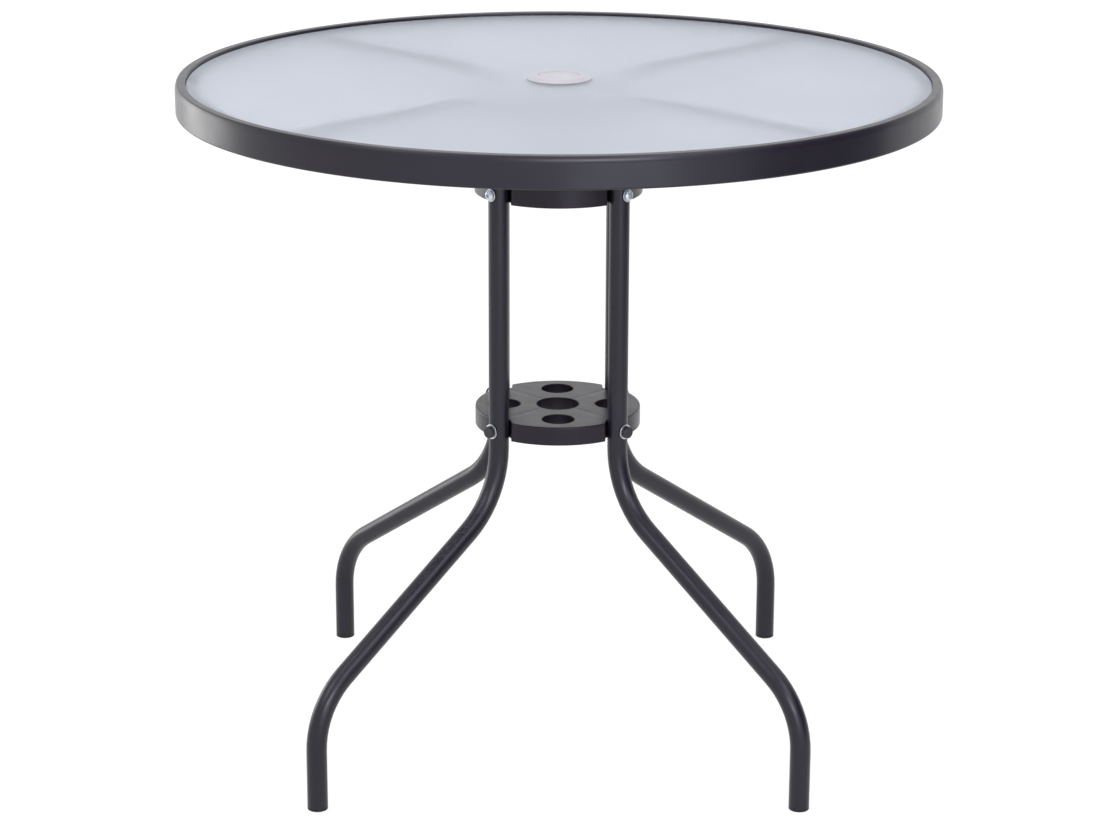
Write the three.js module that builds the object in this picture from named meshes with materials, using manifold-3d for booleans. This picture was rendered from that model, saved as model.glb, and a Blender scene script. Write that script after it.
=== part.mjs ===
// Round patio umbrella table: a frosted glass top dropped into a rolled steel rim, carried by
// four bent tube legs that two notched spacer discs hold apart. Millimetres, +Z up, the origin
// on the floor under the middle of the top, and -Y towards the front.

import * as THREE from 'three';
import { mergeVertices } from 'three/addons/utils/BufferGeometryUtils.js';
import Module from 'manifold-3d';

const wasm = await Module();
wasm.setup();

// Overall
const tableDiameter = 800;
const tableHeight = 723;
const contactGap = 0.3;            // left between a solid and what it seats on or in
const cutOverrun = 2;              // how far every cutter runs past the face that it opens

// Rolled steel rim, one bent strip from the hem below to the ledge under the glass
const rimHeight = 32.5;
const rimSheet = 1.2;
const rimTopWidth = 10.5;
const rimTopRadius = 4;            // outside radius of the top outer corner
const rimInnerRadius = 1.8;        // outside radius of the corner beside the glass
const rimHemWidth = 5.5;
const rimHemRadius = 2;
const ledgeWidth = 13;
const ledgeBendRadius = 1.6;

// Glass and the clear pads under it
const glassThickness = 5;
const glassDrop = 3.3;             // from the rim's top down to the glass
const glassEdgeClearance = 1;
const glassEdgeChamfer = 0.8;
const glassHoleDiameter = 46;
const padLength = 24;
const padWidth = 8;
const padThickness = 1.2;

// Grommet in the glass and the cap that closes it
const grommetFlangeWidth = 11.3;
const grommetFlangeHeight = 3.3;
const grommetFlangeEdge = 1.5;     // height of the flange at its rim
const grommetCrownWidth = 5.5;     // flat top of the flange
const grommetNeckWall = 2.7;
const grommetNeckBelowGlass = 8;
const grommetBeadHeight = 2;
const grommetBeadWidth = 0.8;
const capSeatWidth = 1.9;
const capSeatDepth = 2.4;
const capPlateThickness = 2.1;
const capPlateChamfer = 0.6;
const capSkirtWall = 1.5;
const capSkirtDepth = 5;

// Leg tube, and its centre line from the arm under the glass down to the foot
const tubeDiameter = 21.4;
const tubeWall = 1.2;
const columnCircleRadius = 89;
const footCircleRadius = 353;
const kneeHeight = 279;            // where the column and the sloping run would meet
const ankleHeight = 111;           // where the sloping run and the foot would meet
const shoulderBendRadius = 66;
const kneeBendRadius = 100;
const ankleBendRadius = 85;

// Plug in each foot
const plugFlangeThickness = 2.2;
const plugFlangeChamfer = 0.8;
const plugInsertDepth = 14;
const plugWall = 1.8;

// Notched spacer discs, moulded hollow from below
const discThickness = 19.8;
const discWall = 2.6;
const discSkin = 3;
const discEdgeRound = 1.8;
const discCentreHoleDiameter = 46;
const discSideHoleDiameter = 35;
const sideHoleCircle = 57.6;       // from the disc's middle to each side hole's
const notchSideClearance = 8.4;    // the notch is this much rounder than the tube
const notchCornerRadius = 2.4;
const ribThickness = 2.6;
const bossFrontThickness = 9;      // between the notch and the nut
const nutSlotLength = 9;
const upperDiscBelowBend = 15.1;   // from the end of the shoulder bend down to the disc
const lowerDiscAboveBend = 10.2;   // from the start of the knee bend up to the disc

// Bolts through the columns into the discs
const boltDiameter = 6;
const boltHeadDiameter = 11;
const boltHeadHeight = 3.3;
const boltHoleClearance = 0.4;     // on the radius
const boltBeyondNut = 1.5;
const socketAcrossFlats = 4;
const socketDepth = 1.8;
const nutAcrossFlats = 10;
const nutThickness = 5;
const washerThickness = 1.2;
const upperWasherDiameter = 13.4;
const lowerWasherDiameter = 16;
const boltCapWall = 0.5;
const boltCapRoof = 0.8;

// Stub welded inside the rim, over which each arm slips, and the screw that locks it
const spigotLength = 40;
const spigotWall = 2;
const armScrewInset = 18;          // from the arm's end to the screw
const armScrewDiameter = 5;
const armScrewHeadDiameter = 9;
const armScrewHeadHeight = 2.6;
const armScrewReach = 4;           // past the inside of the arm's wall

// Facets
const hoopSegments = 52;
const tubeSides = 12;
const fastenerSides = 8;
const grommetSegments = 24;
const bendStepDegrees = 18;
const rimTopSegments = 2;
const outerArcSegments = 8;
const notchArcSegments = 6;
const notchCornerSegments = 2;
const centreHoleSegments = 16;
const sideHoleSegments = 12;
const padEndSegments = 3;

// Shares of the piece that carries them
const headShoulderShare = 0.45;    // of a bolt head's height, where its dome starts
const headCrownShare = 0.62;       // of its radius, where the dome ends
const quarterTurn = Math.PI / 2;
const facetShare = Math.cos(Math.PI / hoopSegments);

// Places that several pieces share
const rimRadius = tableDiameter / 2;
const rimInnerWall = rimRadius - rimTopWidth;
const rimBottom = tableHeight - rimHeight;
const glassTop = tableHeight - glassDrop;
const glassBottom = glassTop - glassThickness;
const ledgeTop = glassBottom - padThickness;
const padRadius = rimInnerWall - ledgeWidth / 2;
const grommetRim = glassHoleDiameter / 2 + grommetFlangeWidth;
const tubeRadius = tubeDiameter / 2;
const tubeBore = tubeRadius - tubeWall;
const armHeight = ledgeTop - rimSheet - contactGap - tubeRadius;
const armEnd = (rimRadius - rimHemWidth) * facetShare - contactGap;
const armScrewRadius = armEnd - armScrewInset;
const spigotStart = (rimRadius - rimSheet) * facetShare - contactGap - spigotLength;
const notchSeat = columnCircleRadius - tubeRadius - contactGap;
const washerSeat = columnCircleRadius + tubeRadius + contactGap;
const headSeat = washerSeat + washerThickness + contactGap;
const nutFace = notchSeat - bossFrontThickness - contactGap;
const boltHoleRadius = boltDiameter / 2 + boltHoleClearance;
const boltLength = headSeat - nutFace + nutThickness + boltBeyondNut;
const kneeTurn = Math.atan2(footCircleRadius - columnCircleRadius, kneeHeight - ankleHeight);
const shoulderEnd = armHeight - shoulderBendRadius;
const kneeStart = kneeHeight + kneeBendRadius * Math.tan(kneeTurn / 2);
const upperDiscBottom = shoulderEnd - upperDiscBelowBend - discThickness;
const lowerDiscBottom = kneeStart + lowerDiscAboveBend;
const upperBoltHeight = upperDiscBottom + discThickness / 2;
const lowerBoltHeight = lowerDiscBottom + discThickness / 2;

// Finishes, by piece
const finishes = {
  steel: { color: 0x3b393f, roughness: 0.42, metalness: 0.35 },
  glass: { color: 0xcfd8e2, roughness: 0.45, metalness: 0, transparent: true, opacity: 0.55 },
  clearPlastic: { color: 0xdcd8e2, roughness: 0.3, metalness: 0 },
  moulded: { color: 0x38363b, roughness: 0.5, metalness: 0 },
  blackPlastic: { color: 0x232226, roughness: 0.55, metalness: 0 },
  zinc: { color: 0xb9bdc4, roughness: 0.3, metalness: 0.9 },
};

// Closed surface with shared corners, no collapsed faces, and every face pointing out
function closeSurface(geometry) {
  const bare = new THREE.BufferGeometry();
  bare.setAttribute('position', geometry.getAttribute('position'));
  bare.setIndex(geometry.index);
  const merged = mergeVertices(bare);
  const place = merged.getAttribute('position');
  const corner = (i) => new THREE.Vector3().fromBufferAttribute(place, merged.index.getX(i));
  const kept = [];
  let volume = 0;
  for (let i = 0; i < merged.index.count; i += 3) {
    const [a, b, c] = [0, 1, 2].map((k) => merged.index.getX(i + k));
    if (a === b || b === c || c === a) continue;
    kept.push([a, b, c]);
    volume += corner(i).dot(corner(i + 1).cross(corner(i + 2)));
  }
  const faces = volume < 0 ? kept.map(([a, b, c]) => [a, c, b]) : kept;
  merged.setIndex(faces.flat());
  return merged;
}

function toSolid(geometry) {
  const surface = closeSurface(geometry);
  return new wasm.Manifold(new wasm.Mesh({
    numProp: 3,
    vertProperties: new Float32Array(surface.getAttribute('position').array),
    triVerts: new Uint32Array(surface.index.array),
  }));
}

function fromSolid(solid) {
  const mesh = solid.getMesh();
  const geometry = new THREE.BufferGeometry();
  geometry.setAttribute('position', new THREE.BufferAttribute(mesh.vertProperties, 3));
  geometry.setIndex(Array.from(mesh.triVerts));
  return geometry;
}

function cutFrom(blank, cutters) {
  const solid = cutters.reduce((left, cutter) => left.subtract(toSolid(cutter)), toSolid(blank));
  return fromSolid(solid);
}

// Points of a circular arc, both ends included
function arc(centreX, centreY, radius, from, to, segments) {
  return Array.from({ length: segments + 1 }, (_, i) => {
    const angle = from + ((to - from) * i) / segments;
    return new THREE.Vector2(centreX + radius * Math.cos(angle), centreY + radius * Math.sin(angle));
  });
}

function circle(centreX, centreY, radius, segments) {
  return arc(centreX, centreY, radius, 0, 2 * Math.PI, segments).slice(0, -1);
}

// Solid of revolution about +Z from an outline of [radius, height] points
function revolve(outline, segments) {
  const points = outline.map(([radius, height]) => new THREE.Vector2(radius, height));
  return closeSurface(new THREE.LatheGeometry(points, segments).rotateX(quarterTurn));
}

function extrude(outline, holes, depth, bevel = 0) {
  const shape = new THREE.Shape(outline);
  shape.holes = holes.map((points) => new THREE.Path(points));
  const geometry = new THREE.ExtrudeGeometry(shape, {
    depth: depth - 2 * bevel,
    bevelEnabled: bevel > 0,
    bevelThickness: bevel,
    bevelSize: bevel,
    bevelOffset: -bevel,
    bevelSegments: 1,
  });
  return geometry.translate(0, 0, bevel);
}

// A rod cutter or pin along +Z, starting at z = 0
function rod(radius, length, sides) {
  return new THREE.CylinderGeometry(radius, radius, length, sides)
    .rotateX(quarterTurn)
    .translate(0, 0, length / 2);
}

// Turns a piece built along +Z so that it lies along +X, its own +Y becoming +Z
function layAlongX(geometry) {
  const turn = new THREE.Matrix4().makeBasis(
    new THREE.Vector3(0, 1, 0),
    new THREE.Vector3(0, 0, 1),
    new THREE.Vector3(1, 0, 0),
  );
  return geometry.applyMatrix4(turn);
}

// Stations along a bent line in a plane: straight runs with each inner corner rounded.
// Each station has its place, its direction and the direction square to it.
function bentLine(corners) {
  const places = corners.map(({ at }) => new THREE.Vector2(...at));
  const heading = (i) => places[i + 1].clone().sub(places[i]).normalize();
  const square = (direction) => new THREE.Vector2(-direction.y, direction.x);
  const station = (place, direction) => ({ place, square: square(direction) });
  const stations = [station(places[0], heading(0))];
  for (let i = 1; i < places.length - 1; i += 1) {
    const [before, after] = [heading(i - 1), heading(i)];
    const turn = Math.atan2(before.cross(after), before.dot(after));
    const { radius, segments } = corners[i];
    const run = radius * Math.tan(Math.abs(turn) / 2);
    const start = places[i].clone().addScaledVector(before, -run);
    const centre = start.clone().addScaledVector(square(before), Math.sign(turn) * radius);
    for (let k = 0; k <= segments; k += 1) {
      const angle = (turn * k) / segments;
      const direction = before.clone().rotateAround(new THREE.Vector2(), angle);
      stations.push(station(start.clone().rotateAround(centre, angle), direction));
    }
  }
  stations.push(station(places.at(-1), heading(places.length - 2)));
  return stations;
}

// Open strip of sheet metal bent along a line: its closed outline
function stripOutline(corners, thickness) {
  const stations = bentLine(corners);
  const side = (share) => stations.map(({ place, square }) => (
    place.clone().addScaledVector(square, share * thickness).toArray()
  ));
  const outline = [...side(0.5), ...side(-0.5).reverse()];
  return [...outline, outline[0]];
}

// Open-ended tube along a line bent in the XZ plane
function bentTube(corners, outerRadius, boreRadius, sides) {
  const stations = bentLine(corners);
  const points = [];
  const ring = ({ place, square }, radius) => {
    for (let k = 0; k < sides; k += 1) {
      const angle = (2 * Math.PI * k) / sides;
      const out = radius * Math.cos(angle);
      points.push(place.x + square.x * out, radius * Math.sin(angle), place.y + square.y * out);
    }
  };
  stations.forEach((station) => {
    ring(station, outerRadius);
    ring(station, boreRadius);
  });
  const faces = [];
  const quad = (a, b, c, d) => faces.push(a, b, c, a, c, d);
  const corner = (station, isBore, k) => (2 * station + isBore) * sides + (k % sides);
  const last = stations.length - 1;
  for (let k = 0; k < sides; k += 1) {
    for (let s = 0; s < last; s += 1) {
      quad(corner(s, 0, k), corner(s + 1, 0, k), corner(s + 1, 0, k + 1), corner(s, 0, k + 1));
      quad(corner(s, 1, k + 1), corner(s + 1, 1, k + 1), corner(s + 1, 1, k), corner(s, 1, k));
    }
    quad(corner(0, 0, k), corner(0, 0, k + 1), corner(0, 1, k + 1), corner(0, 1, k));
    quad(corner(last, 0, k + 1), corner(last, 0, k), corner(last, 1, k), corner(last, 1, k + 1));
  }
  const geometry = new THREE.BufferGeometry();
  geometry.setAttribute('position', new THREE.Float32BufferAttribute(points, 3));
  geometry.setIndex(faces);
  return geometry;
}

// Rim: hem, outer band, rounded top, inner wall and the ledge that carries the glass
function rimGeometry() {
  const half = rimSheet / 2;
  const inner = rimInnerWall + half;
  const corners = [
    { at: [rimRadius - rimHemWidth, rimBottom + half] },
    { at: [rimRadius - half, rimBottom + half], radius: rimHemRadius - half, segments: 1 },
    { at: [rimRadius - half, tableHeight - half], radius: rimTopRadius - half, segments: rimTopSegments },
    { at: [inner, tableHeight - half], radius: rimInnerRadius - half, segments: 1 },
    { at: [inner, ledgeTop - half], radius: ledgeBendRadius - half, segments: 1 },
    { at: [rimInnerWall - ledgeWidth, ledgeTop - half] },
  ];
  return revolve(stripOutline(corners, rimSheet), hoopSegments);
}

// Glass: a flat pane with its edges eased and a hole for the grommet. A ring of corners in its
// top face parts the open surface from what the grommet's flange covers.
function glassGeometry() {
  const edge = rimInnerWall - glassEdgeClearance;
  const hole = glassHoleDiameter / 2;
  const ease = glassEdgeChamfer;
  const pane = revolve([
    [0, 0],
    [edge - ease, 0],
    [edge, ease],
    [edge, glassThickness - ease],
    [edge - ease, glassThickness],
    [grommetRim + contactGap, glassThickness],
    [0, glassThickness],
  ], hoopSegments);
  const cutter = rod(hole, glassThickness + 2 * cutOverrun, grommetSegments);
  return cutFrom(pane, [cutter.translate(0, 0, -cutOverrun)]);
}

function padGeometry() {
  const end = padWidth / 2;
  const straight = padLength / 2 - end;
  const outline = [
    ...arc(0, straight, end, 0, Math.PI, padEndSegments),
    ...arc(0, -straight, end, Math.PI, 2 * Math.PI, padEndSegments),
  ];
  return extrude(outline, [], padThickness);
}

// Grommet: crowned flange over the glass, a recess for the cap and a neck with a snap bead.
// Heights count from the top of the glass.
const grommetNeckRadius = glassHoleDiameter / 2 - contactGap;
const grommetBore = grommetNeckRadius - grommetNeckWall;
const capRecessRadius = grommetBore + capSeatWidth;
const capSeatHeight = grommetFlangeHeight - capSeatDepth;

function grommetGeometry() {
  const bottom = -glassThickness - grommetNeckBelowGlass;
  const beadTop = -glassThickness - contactGap;
  const outline = [
    [grommetRim, 0],
    [grommetRim, grommetFlangeEdge],
    [capRecessRadius + grommetCrownWidth, grommetFlangeHeight],
    [capRecessRadius, grommetFlangeHeight],
    [capRecessRadius, capSeatHeight],
    [grommetBore, capSeatHeight],
    [grommetBore, bottom],
    [grommetNeckRadius, bottom],
    [grommetNeckRadius, beadTop - 2 * grommetBeadHeight],
    [grommetNeckRadius + grommetBeadWidth, beadTop - grommetBeadHeight],
    [grommetNeckRadius, beadTop],
    [grommetNeckRadius, 0],
  ];
  return revolve([...outline, outline[0]], grommetSegments);
}

// Cap: a plate in the grommet's recess with a short skirt inside the neck
function holeCapGeometry() {
  const plateTop = capSeatHeight + capPlateThickness;
  const plate = capRecessRadius - contactGap;
  const skirt = grommetBore - contactGap;
  const skirtBottom = capSeatHeight - capSkirtDepth;
  return revolve([
    [0, capSeatHeight],
    [skirt - capSkirtWall, capSeatHeight],
    [skirt - capSkirtWall, skirtBottom],
    [skirt, skirtBottom],
    [skirt, capSeatHeight],
    [plate, capSeatHeight],
    [plate, plateTop - capPlateChamfer],
    [plate - capPlateChamfer, plateTop],
    [0, plateTop],
  ], grommetSegments);
}

// Leg: arm, shoulder, column, knee, sloping run, ankle and foot in one bent tube
function legGeometry() {
  const bend = (radius, turn) => ({
    radius,
    segments: Math.ceil(THREE.MathUtils.radToDeg(turn) / bendStepDegrees),
  });
  const corners = [
    { at: [armEnd, armHeight] },
    { at: [columnCircleRadius, armHeight], ...bend(shoulderBendRadius, quarterTurn) },
    { at: [columnCircleRadius, kneeHeight], ...bend(kneeBendRadius, kneeTurn) },
    { at: [footCircleRadius, ankleHeight], ...bend(ankleBendRadius, kneeTurn) },
    { at: [footCircleRadius, plugFlangeThickness] },
  ];
  const tube = bentTube(corners, tubeRadius, tubeBore, tubeSides);
  const boltHole = (height) => (
    layAlongX(rod(boltHoleRadius, tubeDiameter + 2 * cutOverrun, fastenerSides))
      .translate(columnCircleRadius - tubeRadius - cutOverrun, 0, height)
  );
  const screwHole = rod(armScrewDiameter / 2 + contactGap, tubeRadius, fastenerSides)
    .translate(armScrewRadius, 0, armHeight - tubeRadius - cutOverrun);
  return cutFrom(tube, [boltHole(upperBoltHeight), boltHole(lowerBoltHeight), screwHole]);
}

function footPlugGeometry() {
  const insert = tubeBore - contactGap;
  const top = plugFlangeThickness + plugInsertDepth;
  return revolve([
    [0, 0],
    [tubeRadius - plugFlangeChamfer, 0],
    [tubeRadius, plugFlangeChamfer],
    [tubeRadius, plugFlangeThickness],
    [insert, plugFlangeThickness],
    [insert, top],
    [insert - plugWall, top],
    [insert - plugWall, plugFlangeThickness],
    [0, plugFlangeThickness],
  ], tubeSides);
}

// Notch in a disc's edge: an arc rounder than the tube, seated at its inner side
const discRadius = columnCircleRadius;
const notchRadius = tubeRadius + notchSideClearance;
const notchCentre = notchSeat + notchRadius;

// Quarter of a disc's edge, with its notch on +X, seen from -45 to +45 degrees
function discEdgeQuarter() {
  const reach = discRadius - notchCornerRadius;
  const span = notchRadius + notchCornerRadius;
  const spread = Math.acos((reach ** 2 + notchCentre ** 2 - span ** 2) / (2 * reach * notchCentre));
  const [cornerX, cornerY] = [reach * Math.cos(spread), reach * Math.sin(spread)];
  const lean = Math.atan2(cornerY, notchCentre - cornerX);
  return [
    ...arc(0, 0, discRadius, -quarterTurn / 2, -spread, outerArcSegments / 2),
    ...arc(cornerX, -cornerY, notchCornerRadius, -spread, lean, notchCornerSegments).slice(1),
    ...arc(notchCentre, 0, notchRadius, Math.PI + lean, Math.PI - lean, notchArcSegments).slice(1),
    ...arc(cornerX, cornerY, notchCornerRadius, -lean, spread, notchCornerSegments).slice(1),
    ...arc(0, 0, discRadius, spread, quarterTurn / 2, outerArcSegments / 2).slice(1, -1),
  ];
}

function turned(points, angle) {
  return points.map((point) => point.clone().rotateAround(new THREE.Vector2(), angle));
}

const quarters = [0, 1, 2, 3];
const diagonalOf = (quarter) => (quarter + 0.5) * quarterTurn;

// Radii of the walls round the centre hole, the side holes and the outer edge
const hubRadius = discCentreHoleDiameter / 2 + discWall;
const skirtRadius = discRadius - discWall;
const sideHoleRadius = discSideHoleDiameter / 2;

// Nut slot in the boss behind each notch
const nutSlotFront = notchSeat - bossFrontThickness;
const nutSlotBack = nutSlotFront - nutSlotLength;
const nutSlotHalf = nutAcrossFlats / 2 + contactGap;
const bossBack = nutSlotBack - discWall;
const bossHalf = nutSlotHalf + discWall;
const nutCornerRadius = nutAcrossFlats / Math.sqrt(3);

// Half of a hollow's outline, from the rib to the outer wall: [along the diagonal, off it]
function hollowSide() {
  const ribHalf = ribThickness / 2;
  const wallRadius = notchRadius + discWall;
  const bossFront = notchCentre - Math.sqrt(wallRadius ** 2 - bossHalf ** 2);
  const edgeAlong = (skirtRadius ** 2 - wallRadius ** 2 + notchCentre ** 2) / (2 * notchCentre);
  const edgeOff = Math.sqrt(skirtRadius ** 2 - edgeAlong ** 2);
  const from = Math.atan2(bossHalf, bossFront - notchCentre);
  const to = Math.atan2(edgeOff, edgeAlong - notchCentre);
  return [
    new THREE.Vector2(Math.sqrt(hubRadius ** 2 - ribHalf ** 2), ribHalf),
    new THREE.Vector2(bossBack, ribHalf),
    new THREE.Vector2(bossBack, bossHalf),
    ...arc(notchCentre, 0, wallRadius, from, to, notchCornerSegments),
  ];
}

// Hollow between two ribs, centred on +X and reaching past the underside
function hollowGeometry() {
  const lower = turned(hollowSide(), -quarterTurn / 2);
  const upper = lower.map(({ x, y }) => new THREE.Vector2(x, -y)).reverse();
  const edge = lower.at(-1).angle() - 2 * Math.PI;
  const hub = lower[0].angle() - 2 * Math.PI;
  const outline = [
    ...lower,
    ...arc(0, 0, skirtRadius, edge, -edge, outerArcSegments).slice(1, -1),
    ...upper,
    ...arc(0, 0, hubRadius, -hub, hub, centreHoleSegments / 4).slice(1, -1),
  ];
  const collar = circle(sideHoleCircle, 0, sideHoleRadius + discWall, sideHoleSegments);
  return extrude(outline, [collar], discThickness - discSkin + cutOverrun).translate(0, 0, -cutOverrun);
}

// Disc: a moulded shell with a collar round each hole, ribs and nut bosses on the diagonals
function discGeometry() {
  const edge = quarters.flatMap((quarter) => turned(discEdgeQuarter(), diagonalOf(quarter)));
  const blank = extrude(edge, [], discThickness + 2 * discEdgeRound, discEdgeRound)
    .translate(0, 0, -2 * discEdgeRound);
  const [trimWidth, trimDepth] = [2 * (discRadius + cutOverrun), 2 * discEdgeRound + cutOverrun];
  const trim = new THREE.BoxGeometry(trimWidth, trimWidth, trimDepth).translate(0, 0, -trimDepth / 2);
  const hole = (radius, segments) => (
    rod(radius, discThickness + 2 * cutOverrun, segments).translate(0, 0, -cutOverrun)
  );
  const boltHole = () => (
    layAlongX(rod(boltHoleRadius, bossFrontThickness + 2 * cutOverrun, fastenerSides))
      .translate(nutSlotFront - cutOverrun, 0, discThickness / 2)
  );
  const slotHeight = discThickness / 2 + nutCornerRadius + contactGap + cutOverrun;
  const nutSlot = () => (
    new THREE.BoxGeometry(nutSlotLength, 2 * nutSlotHalf, slotHeight)
      .translate((nutSlotFront + nutSlotBack) / 2, 0, slotHeight / 2 - cutOverrun)
  );
  const cutters = quarters.flatMap((quarter) => [
    hollowGeometry().rotateZ(quarter * quarterTurn),
    hole(sideHoleRadius, sideHoleSegments).translate(sideHoleCircle, 0, 0).rotateZ(quarter * quarterTurn),
    nutSlot().rotateZ(diagonalOf(quarter)),
    boltHole().rotateZ(diagonalOf(quarter)),
  ]);
  return cutFrom(blank, [trim, hole(discCentreHoleDiameter / 2, centreHoleSegments), ...cutters]);
}

// Domed screw along +Z: the shank below z = 0 and the head above, with a hex socket
function screwGeometry(diameter, length, headDiameter, headHeight) {
  const head = headDiameter / 2;
  const blank = revolve([
    [0, -length],
    [diameter / 2, -length],
    [diameter / 2, 0],
    [head, 0],
    [head, headHeight * headShoulderShare],
    [head * headCrownShare, headHeight],
    [0, headHeight],
  ], fastenerSides);
  const socket = rod(socketAcrossFlats / Math.sqrt(3), socketDepth + cutOverrun, 6);
  return cutFrom(blank, [socket.translate(0, 0, headHeight - socketDepth)]);
}

function washerGeometry(diameter) {
  const outer = diameter / 2;
  return extrude(
    circle(0, 0, outer, fastenerSides),
    [circle(0, 0, boltHoleRadius, fastenerSides)],
    washerThickness,
  );
}

// Hex nut with its corners up and down, so that its flats bear on the slot's sides
function nutGeometry() {
  const hexagon = turned(circle(0, 0, nutCornerRadius, 6), quarterTurn);
  const bore = circle(0, 0, boltDiameter / 2 + contactGap, fastenerSides);
  return extrude(hexagon, [bore], nutThickness);
}

// Plastic cup over a bolt's head, open at z = 0
function boltCapGeometry() {
  const inside = boltHeadDiameter / 2 + contactGap;
  const outside = inside + boltCapWall;
  const depth = boltHeadHeight + 2 * contactGap;
  const top = depth + boltCapRoof;
  return revolve([
    [0, depth],
    [inside, depth],
    [inside, 0],
    [outside, 0],
    [outside, top - boltCapRoof / 2],
    [outside - boltCapRoof, top],
    [0, top],
  ], fastenerSides);
}

// Stub tube that the arm slips over, tapped from below for the screw
function spigotGeometry() {
  const outer = tubeBore - contactGap;
  const inner = outer - spigotWall;
  const stub = revolve([
    [inner, 0],
    [outer, 0],
    [outer, spigotLength],
    [inner, spigotLength],
    [inner, 0],
  ], tubeSides);
  const tapped = rod(armScrewDiameter / 2 + contactGap, outer, fastenerSides);
  return cutFrom(layAlongX(stub), [tapped.translate(armScrewRadius - spigotStart, 0, -outer - cutOverrun)]);
}

const table = new THREE.Group();

function place(parent, name, finish, geometry, x = 0, y = 0, z = 0) {
  const mesh = new THREE.Mesh(geometry, new THREE.MeshStandardMaterial(finishes[finish]));
  mesh.name = name;
  mesh.position.set(x, y, z);
  parent.add(mesh);
  return mesh;
}

// Top: rim, pads, glass, grommet and cap
place(table, 'rim_hoop', 'steel', rimGeometry());
place(table, 'glass_top', 'glass', glassGeometry(), 0, 0, glassBottom);
place(table, 'grommet', 'clearPlastic', grommetGeometry(), 0, 0, glassTop);
place(table, 'hole_cap', 'clearPlastic', holeCapGeometry(), 0, 0, glassTop);

['right', 'back', 'left', 'front'].forEach((side, quarter) => {
  const turn = new THREE.Group();
  turn.rotation.z = quarter * quarterTurn;
  table.add(turn);
  place(turn, `glass_pad_${side}`, 'clearPlastic', padGeometry(), padRadius, 0, ledgeTop);
});

// Spacer discs
place(table, 'upper_disc', 'moulded', discGeometry(), 0, 0, upperDiscBottom);
place(table, 'lower_disc', 'moulded', discGeometry(), 0, 0, lowerDiscBottom);

// One leg with its fasteners on each diagonal
const boltAlongX = () => (
  layAlongX(screwGeometry(boltDiameter, boltLength, boltHeadDiameter, boltHeadHeight))
);
const washerAlongX = (diameter) => layAlongX(washerGeometry(diameter));

['back_right', 'back_left', 'front_left', 'front_right'].forEach((corner, quarter) => {
  const turn = new THREE.Group();
  turn.rotation.z = diagonalOf(quarter);
  table.add(turn);
  place(turn, `leg_${corner}`, 'steel', legGeometry());
  place(turn, `foot_plug_${corner}`, 'blackPlastic', footPlugGeometry(), footCircleRadius);
  place(turn, `arm_spigot_${corner}`, 'steel', spigotGeometry(), spigotStart, 0, armHeight);
  const armScrew = screwGeometry(
    armScrewDiameter,
    tubeWall + armScrewReach,
    armScrewHeadDiameter,
    armScrewHeadHeight,
  ).rotateX(Math.PI);
  const armScrewSeat = armHeight - tubeRadius - contactGap;
  place(turn, `arm_screw_${corner}`, 'zinc', armScrew, armScrewRadius, 0, armScrewSeat);

  const joints = [
    { level: 'upper', height: upperBoltHeight, washer: upperWasherDiameter },
    { level: 'lower', height: lowerBoltHeight, washer: lowerWasherDiameter },
  ];
  joints.forEach(({ level, height, washer }) => {
    const nut = layAlongX(nutGeometry());
    place(turn, `${level}_washer_${corner}`, 'zinc', washerAlongX(washer), washerSeat, 0, height);
    place(turn, `${level}_bolt_${corner}`, 'zinc', boltAlongX(), headSeat, 0, height);
    place(turn, `${level}_nut_${corner}`, 'zinc', nut, nutFace - nutThickness, 0, height);
  });
  const boltCap = layAlongX(boltCapGeometry());
  place(turn, `bolt_cap_${corner}`, 'blackPlastic', boltCap, headSeat, 0, lowerBoltHeight);
});

export default table;
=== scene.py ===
import math

import bmesh
import bpy
from mathutils import Matrix, Vector


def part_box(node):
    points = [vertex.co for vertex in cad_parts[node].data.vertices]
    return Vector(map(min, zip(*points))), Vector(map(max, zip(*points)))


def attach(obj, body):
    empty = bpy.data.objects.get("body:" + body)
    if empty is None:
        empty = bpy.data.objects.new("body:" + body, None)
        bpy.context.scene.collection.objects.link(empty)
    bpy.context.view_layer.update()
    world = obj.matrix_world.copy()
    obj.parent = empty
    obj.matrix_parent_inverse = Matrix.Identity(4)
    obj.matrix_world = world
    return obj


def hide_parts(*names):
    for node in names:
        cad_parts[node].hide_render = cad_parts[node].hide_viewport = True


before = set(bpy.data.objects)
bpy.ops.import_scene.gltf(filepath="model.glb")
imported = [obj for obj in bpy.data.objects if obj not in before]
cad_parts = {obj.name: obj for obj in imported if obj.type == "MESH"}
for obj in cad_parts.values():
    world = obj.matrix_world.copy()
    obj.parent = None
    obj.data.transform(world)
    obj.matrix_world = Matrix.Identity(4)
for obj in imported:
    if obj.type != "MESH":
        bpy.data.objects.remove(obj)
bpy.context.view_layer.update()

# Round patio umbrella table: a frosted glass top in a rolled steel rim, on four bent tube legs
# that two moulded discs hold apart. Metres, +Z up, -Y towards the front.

mm = 0.001
quarter_turn = math.pi / 2
gap = 0.3 * mm                     # between a piece and what it seats on or in
overrun = 2 * mm                   # how far a cutter runs past the face that it opens
merge_distance = 0.001 * mm

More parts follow.
